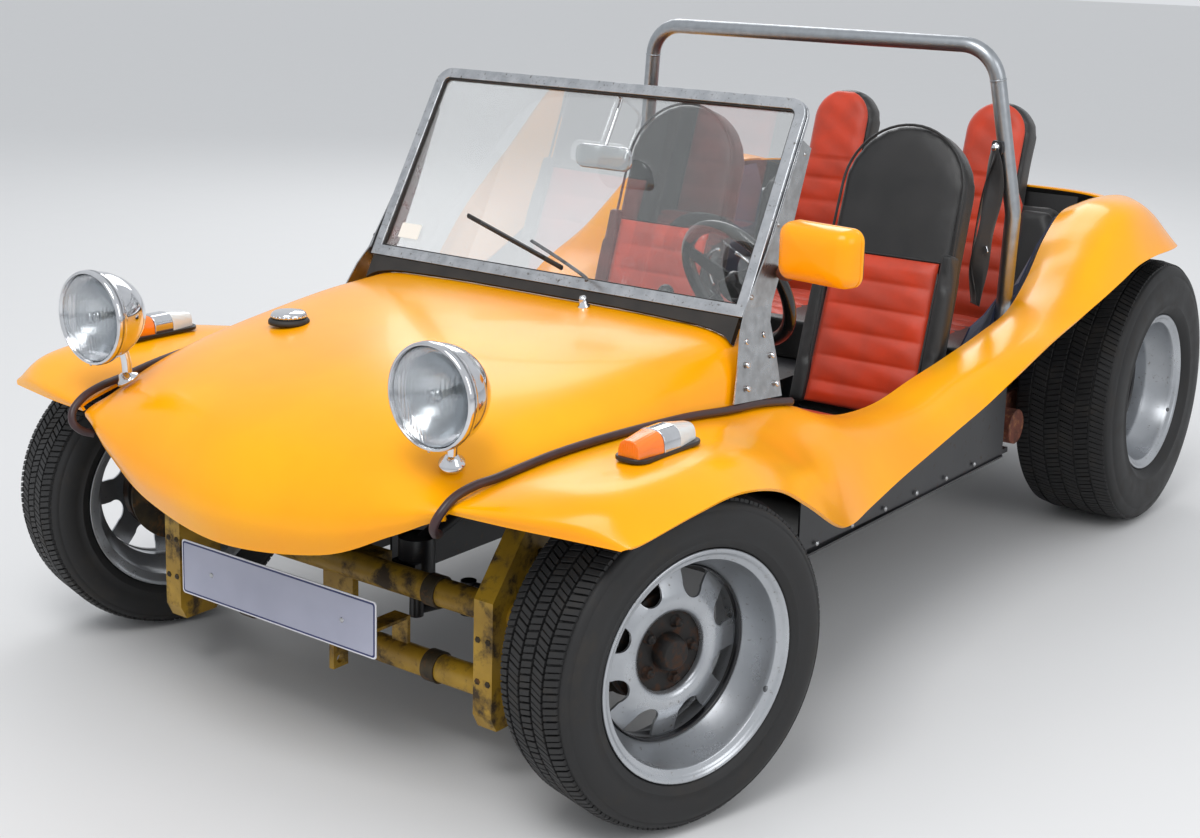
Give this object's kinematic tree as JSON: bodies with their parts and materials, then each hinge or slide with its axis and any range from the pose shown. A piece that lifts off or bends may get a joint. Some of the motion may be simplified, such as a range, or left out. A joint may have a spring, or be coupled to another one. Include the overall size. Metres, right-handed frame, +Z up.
{
  "type": "dune buggy (open two-door-less beach car on a rear-engined floor pan)",
  "caption": "Open four-seat dune buggy with a moulded yellow shell, bowl headlamps, flat windscreen, roll hoop and wide rear wheels.",
  "frame": {"origin": "middle of the whole car on the ground", "axes": "+Z up, +Y towards the tail, the car faces -Y, +X to the car's left"},
  "size_m": [1.7402, 3.3196, 1.3045],
  "materials": {
    "gelcoat": "gloss",
    "black_trim": "satin",
    "black_steel": "satin",
    "vinyl": "satin",
    "glass": "gloss",
    "chrome": "gloss",
    "mirror_glass": "gloss",
    "aluminium": "satin",
    "rubber": "matte",
    "tyre": "matte",
    "bead_rubber": "satin",
    "steel": "satin",
    "iron": "matte",
    "ochre_paint": "satin",
    "rim_paint": "satin",
    "webbing": "matte",
    "amber": "gloss",
    "red_lens": "gloss",
    "plate": "satin",
    "blue_lining": "matte"
  },
  "bodies": {
    "chassis": {"floor_pan": "black_steel", "side_panels": "black_steel", "cockpit_tub": "black_trim", "body_side_left": "gelcoat", "body_side_right": "gelcoat", "tail_body": "gelcoat", "bonnet": "gelcoat", "bonnet_beading": "bead_rubber", "dashboard": "black_trim", "wheel_wells": "blue_lining", "windscreen_frame": "aluminium", "windscreen_glass": "glass", "windscreen_seal": "rubber", "windscreen_brackets": "steel", "wiper": "black_steel", "interior_mirror": "chrome", "door_mirror": "gelcoat", "headlamps": "chrome", "headlamp_lenses": "glass", "front_indicators": "amber", "tail_lamps": "red_lens", "number_plates": "plate", "filler_cap": "chrome", "driver_seat": "vinyl", "passenger_seat": "vinyl", "rear_seat_backs": "vinyl", "rear_seat_cushion": "vinyl", "roll_hoop": "steel", "seat_belt": "webbing", "driver_controls": "black_steel", "steering_column": "black_steel", "front_beam": "ochre_paint", "trailing_arms": "iron", "dampers": "black_steel", "torsion_housing": "black_steel", "swing_axles": "iron", "gearbox": "aluminium", "engine": "aluminium", "fan_shroud": "black_steel", "exhaust": "iron"},
    "steered_knuckle_left": {"knuckle_left": "iron"},
    "steered_knuckle_right": {"knuckle_right": "iron"},
    "front_wheel_left": {"tyre_front_left": "tyre", "wheel_front_left": "rim_paint"},
    "front_wheel_right": {"tyre_front_right": "tyre", "wheel_front_right": "rim_paint"},
    "rear_wheel_left": {"tyre_rear_left": "tyre", "wheel_rear_left": "rim_paint"},
    "rear_wheel_right": {"tyre_rear_right": "tyre", "wheel_rear_right": "rim_paint"},
    "tie_link_left": {"tie_rod_left": "iron"},
    "tie_link_right": {"tie_rod_right": "iron"},
    "pitman": {"pitman_arm": "iron"},
    "hand_wheel": {"steering_wheel": "rubber"}
  },
  "joints": [
    {"name": "steer_left", "type": "hinge", "parent": "chassis", "child": "steered_knuckle_left", "pos_m": [0.602, -1.2108, 0.305], "axis": [0, 0, 1], "range_deg": [-14, 46]},
    {"name": "steer_right", "type": "hinge", "parent": "chassis", "child": "steered_knuckle_right", "pos_m": [-0.602, -1.2108, 0.305], "axis": [0, 0, 1], "range_deg": [-15, 47]},
    {"name": "pitman_turn", "type": "hinge", "parent": "chassis", "child": "pitman", "pos_m": [0.14, -1.2708, 0.33], "axis": [0, 0, 1], "range_deg": [-15, 47]},
    {"name": "tie_left_turn", "type": "hinge", "parent": "steered_knuckle_left", "child": "tie_link_left", "pos_m": [0.63467, -1.09533, 0.271], "axis": [0, 0, 1], "range_deg": [-47, 15]},
    {"name": "tie_right_turn", "type": "hinge", "parent": "steered_knuckle_right", "child": "tie_link_right", "pos_m": [-0.56933, -1.09533, 0.219], "axis": [0, 0, 1], "range_deg": [-47, 15]},
    {"name": "hand_wheel_turn", "type": "hinge", "parent": "chassis", "child": "hand_wheel", "pos_m": [0.325, -0.4498, 0.795], "axis": [0.1967, 0.8729, 0.4465], "range_deg": [-197, 645]},
    {"name": "front_left_spin", "type": "hinge", "parent": "steered_knuckle_left", "child": "front_wheel_left", "pos_m": [0.602, -1.2108, 0.305], "axis": [0.9622, -0.2723, 0], "continuous": true},
    {"name": "front_right_spin", "type": "hinge", "parent": "steered_knuckle_right", "child": "front_wheel_right", "pos_m": [-0.602, -1.2108, 0.305], "axis": [0.9622, -0.2723, 0], "continuous": true},
    {"name": "rear_left_spin", "type": "hinge", "parent": "chassis", "child": "rear_wheel_left", "pos_m": [0.644, 0.9792, 0.354], "axis": [1, 0, 0], "continuous": true},
    {"name": "rear_right_spin", "type": "hinge", "parent": "chassis", "child": "rear_wheel_right", "pos_m": [-0.644, 0.9792, 0.354], "axis": [1, 0, 0], "continuous": true}
  ],
  "couplings": [
    {"joint": "steer_right", "follows": "steer_left", "ratio": 1},
    {"joint": "pitman_turn", "follows": "steer_left", "ratio": 1},
    {"joint": "tie_left_turn", "follows": "steer_left", "ratio": -1},
    {"joint": "tie_right_turn", "follows": "steer_left", "ratio": -1},
    {"joint": "hand_wheel_turn", "follows": "steer_left", "ratio": 14}
  ]
}
